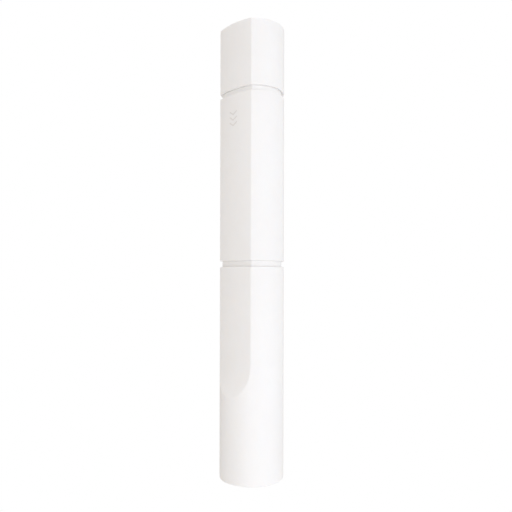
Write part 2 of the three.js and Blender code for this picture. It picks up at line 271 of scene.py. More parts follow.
def skin(angle, inset, depth):
    """Distance from the axis to the tube's surface; angle 0 is the middle of the facet."""
    reach = FACET_RADIUS - inset + depth
    ahead = -FACET_CENTRE * math.cos(angle)
    across = FACET_CENTRE * math.sin(angle)
    facet = ahead + math.sqrt(max(reach**2 - across**2, 0))
    return soft_min(RADIUS - inset, facet, EDGE_SOFTNESS)


def skin_point(angle, inset, z, depth=0.0):
    r = skin(angle, inset, depth)
    return (r * math.sin(angle), AXIS_Y - r * math.cos(angle), z)


EDGE_OFFSETS = [math.radians(v) for v in (3.6, 2.2, 1.4, 0.9, 0.45)]
LEAST_CORNER = math.radians(4)
WIDE_CORNER = math.radians(12)  # a facet narrower than this draws its edge points closer together


def column_angles(depth):
    """Angles of a ring's points, close together at both facet edges."""
    corner = math.hypot(corner_angle(depth), LEAST_CORNER)
    squeeze = min(1.0, corner / WIDE_CORNER)
    offsets = [v * squeeze for v in EDGE_OFFSETS]
    inner, outer = corner - offsets[0], corner + offsets[0]
    front_steps, round_steps = 14, 48
    half = [inner * i / front_steps for i in range(front_steps)]
    half += [corner - v for v in offsets] + [corner] + [corner + v for v in reversed(offsets)]
    half += [outer + (math.pi - outer) * i / round_steps for i in range(1, round_steps + 1)]
    return half + [-v for v in reversed(half[1:-1])]


def ring(inset, z, depth=0.0):
    return [skin_point(angle, inset, z, depth) for angle in column_angles(depth)]


def shrunk(points, share):
    """A ring's points drawn in towards the axis."""
    return [(x * share, AXIS_Y + (y - AXIS_Y) * share, z) for x, y, z in points]


def wall_rows(foot, top, outside, inside, foot_round, top_round, inner_round=SMALL_ROUND, middle=()):
    """(inset, z) once round a tube wall's section: up the outside, over the top, down the inside."""
    rows = rounding(outside, foot, foot_round, foot_round, 5)
    rows.append((outside, foot + foot_round + OUTER_SUPPORT))
    rows += [(outside, z) for z in middle]
    rows.append((outside, top - top_round - OUTER_SUPPORT))
    rows += rounding(outside, top, top_round, -top_round, 5, turned_over=True)
    rows += rounding(inside, top, -inner_round, -inner_round, 3)
    rows.append((inside, top - inner_round - INNER_SUPPORT))
    rows.append((inside, foot + inner_round + INNER_SUPPORT))
    rows += rounding(inside, foot, -inner_round, inner_round, 3, turned_over=True)
    return rows


# ---- Materials -------------------------------------------
def new_material(name):
    made = bpy.data.materials.new(name)
    made.use_nodes = True
    tree = made.node_tree
    return made, tree, tree.nodes["Principled BSDF"]


def node(tree, kind, **inputs):
    made = tree.nodes.new(kind)
    for key, value in inputs.items():
        made.inputs[key].default_value = value
    return made


def object_place(tree):
    return tree.nodes.new("ShaderNodeTexCoord").outputs["Object"]


def texture(tree, where, kind, output="Fac", **inputs):
    """A texture's output, read at the socket where."""
    made = node(tree, kind, **inputs)
    tree.links.new(where, made.inputs["Vector"])
    return made.outputs[output]


def cloudy(tree, where, **inputs):
    return texture(tree, where, "ShaderNodeTexNoise", **inputs)


def math_node(tree, operation, first, second=None, third=None):
    """A Math node; each input is either a socket or a number."""
    made = tree.nodes.new("ShaderNodeMath")
    made.operation = operation
    for socket, value in zip(made.inputs, (first, second, third)):
        if isinstance(value, (int, float)):
            socket.default_value = value
        elif value is not None:
            tree.links.new(value, socket)
    return made.outputs[0]


def tone(tree, source, low, high, start=0.35, end=0.65):
    """A colour that runs from low to high as source runs from start to end."""
    ramp = tree.nodes.new("ShaderNodeValToRGB")
    for element, position, colour in zip(ramp.color_ramp.elements, (start, end), (low, high)):
        element.position = position
        element.color = (*colour, 1)
    tree.links.new(source, ramp.inputs["Fac"])
    return ramp.outputs["Color"]


def spread(tree, source, low, high, start=0.0, end=1.0):
    """A number that runs from low to high as source runs from start to end."""
    limits = {"From Min": start, "From Max": end, "To Min": low, "To Max": high}
    made = node(tree, "ShaderNodeMapRange", **limits)
    tree.links.new(source, made.inputs["Value"])
    return made.outputs["Result"]


def surface(tree, shader, colour, gloss):
    tree.links.new(colour, shader.inputs["Base Color"])
    tree.links.new(gloss, shader.inputs["Roughness"])


def bump(tree, shader, source, strength, distance):
    made = node(tree, "ShaderNodeBump", Strength=strength, Distance=distance)
    tree.links.new(source, made.inputs["Height"])
    tree.links.new(made.outputs["Normal"], shader.inputs["Normal"])


def moulded_plastic(name, low, high, roughness):
    """Satin moulded plastic: faint clouds and flow, a fine grain, and edges rubbed a little smoother."""
    made, tree, shader = new_material(name)
    where = object_place(tree)
    cloud = cloudy(tree, where, Scale=11.0, Detail=5.0, Roughness=0.62)
    grit = cloudy(tree, where, Scale=1500.0, Detail=3.0, Roughness=0.6)
    flow = cloudy(tree, where, Scale=70.0, Detail=4.0, Roughness=0.6, Distortion=0.6)
    shade = math_node(tree, "ADD", cloud, math_node(tree, "MULTIPLY_ADD", flow, 0.3, -0.15))
    edge = tree.nodes.new("ShaderNodeNewGeometry").outputs["Pointiness"]
    rubbed = spread(tree, edge, 0.0, 0.1, 0.52, 0.62)
    gloss = spread(tree, flow, roughness - 0.06, roughness + 0.08)
    gloss = math_node(tree, "SUBTRACT", gloss, rubbed)
    surface(tree, shader, tone(tree, shade, low, high), gloss)
    bump(tree, shader, grit, 0.5, 0.22 * MM)
    shader.inputs["Specular IOR Level"].default_value = 0.4
    shader.inputs["Subsurface Weight"].default_value = 0.25
    shader.inputs["Subsurface Radius"].default_value = (1.0, 0.9, 0.8)
    shader.inputs["Subsurface Scale"].default_value = 1.5 * MM
    return made


def cellular(name, low, high, cell, depth):
    """Foam: fine cells of two sizes, darker where they meet, with a cloudy tone."""
    made, tree, shader = new_material(name)
    where = object_place(tree)
    large = texture(tree, where, "ShaderNodeTexVoronoi", "Distance", Scale=1 / cell)
    small = texture(tree, where, "ShaderNodeTexVoronoi", "Distance", Scale=2.7 / cell)
    cloud = cloudy(tree, where, Scale=160.0, Detail=4.0)
    cells = math_node(tree, "MULTIPLY_ADD", small, 0.45, large)
    shade = math_node(tree, "MULTIPLY_ADD", cloud, -0.5, cells)
    surface(tree, shader, tone(tree, shade, low, high, 0.0, 0.75), spread(tree, cloud, 0.88, 1.0))
    bump(tree, shader, cells, 0.5, depth)
    shader.inputs["Specular IOR Level"].default_value = 0.2
    return made


def release_paper(name, low, high):
    """Glazed backing paper on the foam tape: faint fibres and a slightly rippled gloss."""
    made, tree, shader = new_material(name)
    where = object_place(tree)
    fibre = cloudy(tree, where, Scale=900.0, Detail=6.0, Roughness=0.75, Distortion=1.2)
    ripple = cloudy(tree, where, Scale=120.0, Detail=2.0)
    surface(tree, shader, tone(tree, fibre, low, high), spread(tree, fibre, 0.24, 0.42))
    bump(tree, shader, ripple, 0.3, 0.2 * MM)
    return made


def specked(name, scale, detail, low, high, gloss, relief=None):
    """A surface whose one noise sets its tone and gloss, and its relief if it has any."""
    made, tree, shader = new_material(name)
    speck = cloudy(tree, object_place(tree), Scale=scale, Detail=detail)
    surface(tree, shader, tone(tree, speck, low, high), spread(tree, speck, *gloss))
    if relief:
        bump(tree, shader, speck, 0.15, relief)
    return made


def turned_metal(name, low, high, roughness):
    """Metal with fine machining lines and a faint tarnish."""
    made, tree, shader = new_material(name)
    where = object_place(tree)
    lines = texture(tree, where, "ShaderNodeTexWave", Scale=900.0, Distortion=1.5, Detail=2.0)
    stain = cloudy(tree, where, Scale=350.0, Detail=4.0)
    gloss = spread(tree, stain, roughness - 0.08, roughness + 0.12)
    surface(tree, shader, tone(tree, stain, low, high), gloss)
    bump(tree, shader, lines, 0.1, 0.03 * MM)
    shader.inputs["Metallic"].default_value = 1.0
    return made


def weave_height(tree, warp_pitch, weft_pitch):
    """Plain weave, 0 to 1, from the cloth's own coordinates.

    Each yarn rises over one crossing yarn and dives under the next.
    """
    cloth = tree.nodes.new("ShaderNodeAttribute")
    cloth.attribute_name = "cloth"
    split = tree.nodes.new("ShaderNodeSeparateXYZ")
    tree.links.new(cloth.outputs["Vector"], split.inputs[0])
    waves, signs, rounds = [], [], []
    for axis, pitch in (("X", warp_pitch), ("Y", weft_pitch)):
        turn = math_node(tree, "MULTIPLY", split.outputs[axis], math.pi / pitch)
        wave = math_node(tree, "SINE", turn)
        waves.append(wave)
        signs.append(math_node(tree, "SIGN", wave))
        rounds.append(math_node(tree, "POWER", math_node(tree, "ABSOLUTE", wave), 0.7))
    yarns = []
    for own, other, way in ((0, 1, 0.5), (1, 0, -0.5)):
        crossing = math_node(tree, "MULTIPLY", signs[own], waves[other])
        rise = math_node(tree, "MULTIPLY", crossing, way)
        yarns.append(math_node(tree, "MULTIPLY_ADD", rounds[own], 0.5, rise))
    return math_node(tree, "MAXIMUM", *yarns), cloth.outputs["Vector"]


def woven(name, low, high, pitches, depth, roughness, sheen, sheen_tint):
    """Woven yarns with shade painted into the gaps between them, with slubs, uneven gloss and a soft
    sheen.
    """
    made, tree, shader = new_material(name)
    height, cloth = weave_height(tree, *pitches)
    slub = cloudy(tree, cloth, Scale=55.0, Detail=6.0, Roughness=0.7)
    # Painted shade: the colour darkens where the weave's height is low, in the gaps; the slubs add the
    # yarns' real uneven tone.
    shade = math_node(tree, "MULTIPLY", height, 0.55)
    shade = math_node(tree, "MULTIPLY_ADD", slub, 0.5, shade)
    gloss = spread(tree, slub, roughness - 0.1, roughness + 0.1)
    surface(tree, shader, tone(tree, shade, low, high, 0.25, 0.78), gloss)
    bump(tree, shader, height, 0.85, depth)
    shader.inputs["Sheen Weight"].default_value = sheen
    shader.inputs["Sheen Roughness"].default_value = 0.4
    shader.inputs["Sheen Tint"].default_value = (*sheen_tint, 1)
    return made


def floor_material():
    made, tree, shader = new_material("pale_floor")
    cloud = cloudy(tree, object_place(tree), Scale=2.0, Detail=2.0)
    colour = tone(tree, cloud, (0.91, 0.91, 0.91), (0.93, 0.93, 0.93))
    tree.links.new(colour, shader.inputs["Base Color"])
    shader.inputs["Roughness"].default_value = 0.7
    return made


# ---- Shells ----------------------------------------------
def sleeve_shell(material):
    """The lower shell: round at its foot, with the facet running out in the scoop."""
    ramp_steps = 26
    ramp = []
    for i in range(1, ramp_steps):
        theta = FACET_HALF_ANGLE * i / ramp_steps
        reach = math.hypot(RADIUS * math.sin(theta), FACET_CENTRE + RADIUS * math.cos(theta))
        depth = reach - FACET_RADIUS
        ramp.append(RAMP_TOP - math.sqrt(2 * SCOOP_RADIUS * depth - depth**2))
    below = [SCOOP_FOOT - d * MM for d in (12, 6, 3.5, 2.4, 1.6, 1.0, 0.5, 0.2)]
    above = [RAMP_TOP + d * MM for d in (0, 3, 12)]
    middle = below + ramp + above
    top = sleeve_high.z
    rows = wall_rows(FOOT, top, 0.0, SHELL_WALL, RIM_RADIUS, SMALL_ROUND, LIP_ROUND, middle)
    split = next(i for i, (inset, z) in enumerate(rows) if inset == SHELL_WALL and z < SCOOP_FOOT)
    rows[split:split] = [(SHELL_WALL, z) for z in reversed(middle)]
    rings = [ring(inset, z, scoop_depth(z)) for inset, z in rows]
    return lofted("sleeve_shell", rings, material, closed=True)


def middle_tube(material):
    foot, top = middle_low.z, middle_high.z
    rows = wall_rows(foot, top, 0.0, SHELL_WALL, SMALL_ROUND, SMALL_ROUND, LIP_ROUND)
    return lofted("middle_tube", [ring(i, z) for i, z in rows], material, closed=True)


def domed(points, below):
    """Points laid this far below the cap's crown, a sphere that rises CROWN_RISE over the full radius."""
    size = (RADIUS**2 + CROWN_RISE**2) / (2 * CROWN_RISE)
    laid = []
    for x, y, _ in points:
        rise = math.sqrt(size**2 - x**2 - (y - AXIS_Y) ** 2)
        laid.append((x, y, TOP - size + rise - below))
    return laid


def cap_shell(material):
    """The deep lid: an inner skin from the roof's middle down, and an outer one up over the domed top."""
    ceiling, foot = TOP - CAP_ROOF, cap_low.z
    rings = [shrunk(ring(SHELL_WALL, ceiling), share) for share in (0.15, 0.55, 0.92)]
    rows = rounding(SHELL_WALL, ceiling, SMALL_ROUND, -SMALL_ROUND, 3)
    rows.append((SHELL_WALL, foot + SMALL_ROUND + INNER_SUPPORT))
    rows += rounding(SHELL_WALL, foot, -LIP_ROUND, LIP_ROUND, 3, turned_over=True)
    rows += rounding(0, foot, SMALL_ROUND, SMALL_ROUND, 4)
    rows.append((0, foot + SMALL_ROUND + OUTER_SUPPORT))
    rings += [ring(inset, z) for inset, z in rows]
    rings.append(domed(ring(0, 0), CAP_ROUND + OUTER_SUPPORT))
    for inset, below in rounding(0, 0, CAP_ROUND, CAP_ROUND, 6, turned_over=True):
        rings.append(domed(ring(inset, 0), below))
    for share in (0.97, 0.9, 0.75, 0.5, 0.2):
        rings.append(domed(shrunk(ring(CAP_ROUND, 0), share), 0))
    return lofted("cap_shell", rings, material, ends=True)


def liner_tube(material):
    """The inner tube, with its two seats for the friction rings."""
    outside, inside = LINER_INSET, LINER_INSET + LINER_WALL
    seat = outside + RING_SEAT_DEPTH
    edge, flat = 0.25 * MM, 1.2 * MM
    rows = []
    for name in ("sleeve_friction_ring", "cap_friction_ring"):
        low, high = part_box(name)
        middle = (low.z + high.z) / 2
        foot, top = middle - RING_SEAT_HEIGHT / 2, middle + RING_SEAT_HEIGHT / 2
        rows += [(outside, foot - flat), (outside, foot - edge), (outside + edge, foot)]
        rows += [(seat - edge, foot), (seat, foot + edge), (seat, top - edge), (seat - edge, top)]
        rows += [(outside + edge, top), (outside, top + edge), (outside, top + flat)]
    around = wall_rows(liner_low.z, liner_high.z, outside, inside, SMALL_ROUND, SMALL_ROUND)
    above_foot = liner_low.z + 1 * MM
    split = next(i for i, (inset, z) in enumerate(around) if inset == outside and z > above_foot) + 1
    around[split:split] = rows
    return lofted("liner_tube", [ring(i, z) for i, z in around], material, closed=True)


def squarish(value):
    return math.copysign(abs(value) ** 0.6, value)


def friction_ring(name, cad_name, material):
    """A rubber ring whose section is a square with very soft corners."""
    low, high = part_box(cad_name)
    middle, half = (low.z + high.z) / 2, (high.z - low.z) / 2
    outer = SHELL_WALL + RING_GAP
    inner = LINER_INSET + RING_SEAT_DEPTH - RING_GAP
    centre, reach = (outer + inner) / 2, (inner - outer) / 2
    steps = 14
    rings = []
    for i in range(steps):
        t = 2 * math.pi * i / steps
        rings.append(ring(centre - reach * squarish(math.cos(t)), middle + half * squarish(math.sin(t))))
    return lofted(name, rings, material, closed=True)


def stop_ring(material):
    low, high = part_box("sleeve_stop_ring")
    edge = 0.4 * MM
    rows = wall_rows(low.z, high.z, LINER_INSET, LINER_INSET + LINER_WALL, edge, edge)
    return lofted("stop_ring", [ring(i, z) for i, z in rows], material, closed=True)


def base_dish(material):
    """The base, a dish that is open upwards, turned from a profile of (radius, z).

    Its underside has a rounded edge, a shallow ring step and a gate dimple.
    """
    low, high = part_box("base_cap")
    radius = (high.x - low.x) / 2
    bore, floor = radius - 1.6 * MM, low.z + 3.0 * MM
    edge = 0.5 * MM
    # Both shapes are (radius, height above the underside) in millimetres.
    dimple = [(0.15, 0.5), (0.9, 0.45), (1.3, 0.1), (1.7, 0), (4, 0)]
    ring_step = [(14.6, 0), (15.0, 0.05), (15.3, 0.5), (15.8, 0.6)]
    ring_step += [(17.2, 0.6), (17.7, 0.5), (18.0, 0.05), (18.4, 0)]
    profile = [(r * MM, low.z + up * MM) for r, up in dimple + ring_step]
    profile.append((radius - 1.5 * MM, low.z))
    profile += rounding(radius, low.z, -edge, edge, 4)
    profile += [(radius, low.z + 1.5 * MM), (radius, high.z - 1 * MM), (radius - 0.3 * MM, high.z)]
    profile += [(bore + 0.3 * MM, high.z), (bore, high.z - 0.4 * MM), (bore, floor + 0.8 * MM)]
    profile += [(bore - 0.3 * MM, floor + 0.2 * MM), (bore - 1 * MM, floor), (0.2 * MM, floor)]
    steps = 120
    turns = [2 * math.pi * i / steps for i in range(steps)]
    rings = [[(r * math.sin(t), AXIS_Y - r * math.cos(t), z) for t in turns] for r, z in profile]
    return lofted("base_dish", rings, material, ends=True)


# ---- Cloth -----------------------------------------------
ROLL_HALF_WIDTH = (roll_high.x - roll_low.x) / 2
ROLL_HALF_DEPTH = (roll_high.y - roll_low.y) / 2
ROLL_Y = (roll_low.y + roll_high.y) / 2
LAP_ANGLE = math.radians(-52)  # where the cloth's outer end lies, from +X
CORE = 0.08  # the innermost turn's size, as a share of the outermost
STEPS_A_TURN = 44
LEAST_ROLL_RADIUS = 0.1 * MM
SLIP = 1.2 * MM  # how far the turns stand out past each other at the roll's ends, at most


def outward(angle):
    return Vector((math.cos(angle), math.sin(angle), 0))


def roll_place(share, turn_angle, z, depth):
    """A point of the roll: share is the turn's size, depth how far in from the turn's outer face.

    Every turn has the same dents at the same place, so neighbouring turns never cross.
    """
    away = outward(turn_angle)
    broad = noise.noise(Vector((away.x * 1.3, away.y * 1.3, z * 14)))
    small = noise.noise(Vector((away.x * 3.4 + 7, away.y * 3.4, z * 40)))
    dent = (0.62 * broad + 0.30 * small - 0.42) * MM * share
    half_width = share * (ROLL_HALF_WIDTH - CLOTH_THICKNESS) - depth + dent
    half_depth = share * (ROLL_HALF_DEPTH - CLOTH_THICKNESS) - depth + dent
    x = max(half_width, LEAST_ROLL_RADIUS) * away.x
    y = max(half_depth, LEAST_ROLL_RADIUS) * away.y
    return Vector((x, ROLL_Y + y, z))


def turn_size(s):
    """A turn's size as a share of the outermost; s runs from 0 at the core to 1 at the outer end."""
    return CORE + (1 - CORE) * s


def on_spiral(share, angle):
    """A point in plan of the spiral that the cloth is rolled along."""
    return Vector((share * ROLL_HALF_WIDTH * math.cos(angle), share * ROLL_HALF_DEPTH * math.sin(angle)))


def path_length(turns):
    """The spiral's length for this many turns."""
    steps = 2400
    total, last = 0.0, None
    for i in range(steps + 1):
        s = i / steps
        here = on_spiral(turn_size(s), 2 * math.pi * turns * s)
        if last is not None:
            total += (here - last).length
        last = here
    return total


def turns_for(length):
    """How many turns a cloth of this length takes, by halving the interval."""
    low, high = 4.0, 30.0
    for _ in range(30):
        middle = (low + high) / 2
        if path_length(middle) < length:
            low = middle
        else:
            high = middle
    return (low + high) / 2


TURNS = turns_for(CLOTH_SIDE)
TURN_PITCH = (1 - CORE) * (ROLL_HALF_WIDTH + ROLL_HALF_DEPTH) / 2 / TURNS


def on_outer_turn(angle, z, lift):
    """A point that stands off the outer turn by lift, at an angle behind the cloth's outer end."""
    share = 1.0 - (1 - CORE) / TURNS * (LAP_ANGLE - angle) / (2 * math.pi)
    return roll_place(share, angle, z, -lift)


def add_cloth_coordinates(made, coordinates):
    layer = made.data.attributes.new("cloth", "FLOAT_VECTOR", "POINT")
    layer.data.foreach_set("vector", [v for c in coordinates for v in (*c, 0.0)])


def sheet_object(name, columns, thickness, material):
    """A sheet with real thickness, over columns of (point, cloth coordinate) that are equally long."""
    points = [point for column in columns for point, _ in column]
    coordinates = [where for column in columns for _, where in column]
    n = len(columns[0])
    faces = []
    for i in range(len(columns) - 1):
        for j in range(n - 1):
            a = i * n + j
            faces.append((a, a + n, a + n + 1, a + 1))
    made = make_object(name, points, faces, material)
    add_cloth_coordinates(made, coordinates)
    thick = made.modifiers.new("thickness", "SOLIDIFY")
    thick.thickness = thickness
    thick.offset = 0
    return made


def folded_section():
    """The cloth's section, folded in three: (share of the height, depth, bulge past the roll's end)."""
    spacing = TURN_PITCH / CLOTH_LAYERS
    run_steps, fold_steps = 18, 5
    rows = []
    for layer in range(CLOTH_LAYERS):
        up = layer % 2 == 0
        for i in range(run_steps + 1):
            share = i / run_steps
            rows.append((share if up else 1 - share, layer * spacing, 0.0))
        if layer < CLOTH_LAYERS - 1:
            for i in range(1, fold_steps):
                t = math.pi * i / fold_steps
                depth = layer * spacing + spacing / 2 * (1 - math.cos(t))
                bulge = math.sin(t) * spacing * 0.9
                rows.append((1.0 if up else 0.0, depth, bulge if up else -bulge))
    return rows


def rolled_blanket(material):
    """One square of cloth, folded in three across its width and rolled up, as a single sheet."""
    end_room = 1.0 * MM
    low, high = roll_low.z + end_room, roll_high.z - end_room
    rows = folded_section()
    steps = int(TURNS * STEPS_A_TURN)
    columns = []
    travelled, last = 0.0, None
    for c in range(steps + 1):
        s = c / steps
        share = turn_size(s)
        angle = LAP_ANGLE - 2 * math.pi * TURNS * (1 - s)
        here = on_spiral(share, angle)
        travelled += (here - last).length if last else 0.0
        last = here
        slip_low = noise.noise(Vector((s * 21, 3.1, 0))) * SLIP
        slip_high = noise.noise(Vector((s * 19, 9.7, 5))) * SLIP
        column = []
        risen, last_z = 0.0, None
        for height, depth, bulge in rows:
            z = low + slip_low + (high + slip_high - low - slip_low) * height + bulge
            risen += abs(z - last_z) if last_z is not None else 0.0
            last_z = z
            column.append((roll_place(share, angle, z, depth), (travelled, risen)))
        columns.append(column)
    return sheet_object("rolled_blanket", columns, CLOTH_THICKNESS, material)


def end_hem_band(material):
    """The hem along the cloth's outer end, from one end of the roll to the other."""
    long_steps, cross_steps = 90, 10
    end_room = 1.5 * MM
    foot, top = roll_low.z + end_room, roll_high.z - end_room
    columns = []
    for i in range(long_steps + 1):
        z = foot + (top - foot) * i / long_steps
        column = []
        for j in range(cross_steps + 1):
            back = HEM_WIDTH * j / cross_steps
            lift = HEM_LIFT * (EDGE_SHARE if j in (0, cross_steps) else 1.0)
            point = on_outer_turn(LAP_ANGLE - back / ROLL_HALF_WIDTH, z, lift)
            column.append((point, (CLOTH_SIDE - back, z)))
        columns.append(column)
    return sheet_object("end_hem", columns, HEM_THICKNESS, material)


def foot_hem_band(material):
    """The hem along the cloth's lower edge, round the outer turn from the end hem and back to it."""
    long_steps, cross_steps = 150, 6
    tucked, clear = 0.6 * MM, 0.05  # tucked under the end hem, and clear of it in radians
    start = LAP_ANGLE - (HEM_WIDTH - tucked) / ROLL_HALF_WIDTH
    sweep = start - (LAP_ANGLE - 2 * math.pi) - clear
    foot = roll_low.z + 1.2 * MM
    columns = []
    for i in range(long_steps + 1):
        angle = start - sweep * i / long_steps
        column = []
        for j in range(cross_steps + 1):
            up = FOOT_HEM_WIDTH * j / cross_steps
            lift = HEM_LIFT * (EDGE_SHARE if j in (0, cross_steps) else FOOT_HEM_SHARE)
            column.append((on_outer_turn(angle, foot + up, lift), (angle * ROLL_HALF_WIDTH, up)))
        columns.append(column)
    return sheet_object("foot_hem", columns, HEM_THICKNESS, material)


def stitch_row(name, places, material):
    """A row of thread stitches: each place is (middle, direction along, direction out)."""
    length, radius = 2.4 * MM, 0.26 * MM
    sides, steps = 6, 6
    points, faces = [], []
    for middle, along, out in places:
        side = along.cross(out).normalized()
        base = len(points)
        for i in range(steps + 1):
            t = i / steps
            size = radius * (0.35 + 0.65 * math.sin(math.pi * min(max(t, 0.08), 0.92)))
            centre = middle + along * length * (t - 0.5) + out * radius * 0.6 * math.sin(math.pi * t)
            for k in range(sides):
                a = 2 * math.pi * k / sides
                points.append(centre + side * size * math.cos(a) + out * size * math.sin(a))
        for i in range(steps):
            for k in range(sides):
                a, b = base + i * sides + k, base + i * sides + (k + 1) % sides
                faces.append((b, a, a + sides, b + sides))
        faces.append(tuple(base + k for k in range(sides)))
        faces.append(tuple(base + steps * sides + k for k in reversed(range(sides))))
    return make_object(name, points, faces, material)


def hem_stitches(material):
    """Two rows of stitches up the end hem."""
    end_room = 4 * MM
    up = Vector((0, 0, 1))
    places = []
    for back in (2.6 * MM, 9.4 * MM):
        angle = LAP_ANGLE - back / ROLL_HALF_WIDTH
        out = outward(angle)
        z = roll_low.z + end_room
        while z < roll_high.z - end_room:
            places.append((on_outer_turn(angle, z, HEM_LIFT + THREAD_LIFT), up, out))
            z += STITCH_PITCH
    return stitch_row("hem_stitches", places, material)


def edge_stitches(material):
    """One row of stitches round the foot hem."""
    past_end_hem, clear = 1.5 * MM, 0.06  # past the end hem, and clear of it in radians
    z = roll_low.z + 8.8 * MM
    lift = HEM_LIFT * FOOT_HEM_SHARE + THREAD_LIFT
    places = []
    angle = LAP_ANGLE - (HEM_WIDTH + past_end_hem) / ROLL_HALF_WIDTH
    while angle > LAP_ANGLE - 2 * math.pi + clear:
        out = outward(angle)
        along = Vector((-math.sin(angle), math.cos(angle), 0))
        places.append((on_outer_turn(angle, z, lift), along, out))
        angle -= STITCH_PITCH / ROLL_HALF_WIDTH
    return stitch_row("edge_stitches", places, material)


def smooth_step(value):
    value = min(1.0, max(0.0, value))
    return value * value * (3 - 2 * value)


def loop_size(low, high):
    """(middle in X, distance from there to a leg's centreline) of a loop with this box."""
    return (low.x + high.x) / 2, (high.x - low.x - TAPE_THICKNESS) / 2


def tape_leg(z, outer, low, high, side):
    """(x, z, curl) of one leg of a loop at a height.

    The legs leave the roll close together and curled across their width, and spread and flatten as
    they hang. curl is one over the radius that the width is bent to.
    """
    change = 34 * MM  # the height over which the legs spread and flatten
    below = roll_low.z - z
    spreading = smooth_step((below - 9 * MM) / change)
    flattening = smooth_step((below - 4 * MM) / change)
    middle, leg = loop_size(low, high)
    gathered = side * (16.6 * MM if outer else 15.35 * MM)
    spread_out = middle + side * (leg if outer else -leg)
    bend_radius = 14.4 * MM if outer else 13.1 * MM
    return gathered + (spread_out - gathered) * spreading, z, (1 - flattening) / bend_radius


def tape_path(low, high, side):
    """The loop's centreline as (x, z, curl), from inside the roll's end round the bend and back up."""
    middle, leg = loop_size(low, high)
    bend = low.z + TAPE_THICKNESS / 2 + leg
    buried = roll_low.z + 9 * MM
    leg_steps, bend_steps = 34, 18
    heights = [buried + (bend - buried) * i / leg_steps for i in range(leg_steps)]
    path = [tape_leg(z, True, low, high, side) for z in heights]
    for i in range(bend_steps + 1):
        t = math.pi * i / bend_steps
        path.append((middle + side * leg * math.cos(t), bend - leg * math.sin(t), 0.0))
    path += [tape_leg(z, False, low, high, side) for z in reversed(heights)]
    return path


def tape_section(half_width):
    """The webbing's flat section as (across, out), with thicker selvedges that are rounded off."""
    half_thick = TAPE_THICKNESS / 2 * 0.9
    rounded_from = 0.93
    one_half = (0.1, 0.3, 0.5, 0.7, 0.88, rounded_from, 0.975, 1.0)
    across = [-v for v in reversed(one_half)] + list(one_half)
    section = []
    for sign, order in ((1, across), (-1, across[-2:0:-1])):
        for v in order:
            selvedge = 1.0 if abs(v) > 0.9 else 0.84
            beyond = max(0.0, (abs(v) - rounded_from) / (1 - rounded_from))
            height = math.sqrt(max(0.0, 1 - beyond**2))
            section.append((v * half_width, sign * half_thick * selvedge * height))
    return section


def pull_loop(name, cad_name, side, material):
    """A webbing loop: a ribbon swept along its path, curled where it leaves the roll."""
    low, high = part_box(cad_name)
    path = tape_path(low, high, side)
    middle_y = (low.y + high.y) / 2
    section = tape_section((high.y - low.y) / 2)
    rings, coordinates = [], []
    travelled = 0.0
    for i, (x, z, curl) in enumerate(path):
        before, after = path[max(i - 1, 0)], path[min(i + 1, len(path) - 1)]
        run = Vector((after[0] - before[0], after[1] - before[1])).normalized()
        out = Vector((-run.y, run.x)) * side
        if i:
            travelled += math.dist(path[i - 1][:2], path[i][:2])
        shape = []
        for w, t in section:
            turn = w * curl
            y = math.sin(turn) / curl if curl > 1 else w
            fall = (1 - math.cos(turn)) / curl if curl > 1 else 0.0
            shape.append((
                x - side * fall + out.x * t * math.cos(turn),
                middle_y + y + abs(out.x) * t * math.sin(turn) * math.copysign(1, out.x * side),
                z + out.y * t,
            ))
        where = [(w, travelled) for w, t in section]
        if side > 0:
            shape.reverse()
            where.reverse()
        rings.append(shape)
        coordinates += where
    made = lofted(name, rings, material, ends=True)
    coordinates += [(0.0, 0.0), (0.0, travelled)]
    add_cloth_coordinates(made, coordinates)
    return made


def tape_stitches(name, cad_name, side, material):
    """Rows of stitches across the two legs where they are sewn together below the roll."""
    low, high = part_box(cad_name)
    middle_y, half_width = (low.y + high.y) / 2, (high.y - low.y) / 2
    count = 5
    sewn_width = 1.6 * half_width
    lift = TAPE_THICKNESS * 0.38
    places = []
    for below in (2.6 * MM, 6.4 * MM):
        x, z, curl = tape_leg(roll_low.z - below, True, low, high, side)
        for i in range(count):
            turn = (i / (count - 1) - 0.5) * sewn_width * curl
            out = Vector((side * math.cos(turn), math.sin(turn), 0))
            along = Vector((-side * math.sin(turn), math.cos(turn), 0))
            face = Vector((x - side * (1 - math.cos(turn)) / curl, middle_y + math.sin(turn) / curl, z))
            places.append((face + out * lift, along, out))
    return stitch_row(name, places, material)


# ---- Foam ------------------------------------------------
def foam_disc(material):
    """A slightly crowned foam pad under the cap's roof."""
    low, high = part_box("cap_foam_disc")
    inset = LINER_INSET + LINER_WALL + 0.3 * MM
    edge, crown = 1.3 * MM, 0.5 * MM
    core = inset + edge
    rings = []
    for share in (0.2, 0.5, 0.8, 0.95):
        rings.append(shrunk(ring(core, low.z + crown * share**2), share))
    rows = rounding(inset, low.z + crown, edge, edge, 5)
    rows += rounding(inset, high.z, edge, -edge, 5, turned_over=True)
    rings += [ring(i, z) for i, z in rows]
    rings += [shrunk(ring(core, high.z), share) for share in (0.95, 0.6, 0.2)]
    return lofted("cap_foam", rings, material, ends=True)


def round_end(share):
    """A quarter circle's height, 0 to 1, at this share of the way in from its end."""
    return math.sqrt(1 - (1 - min(share, 1.0)) ** 2)


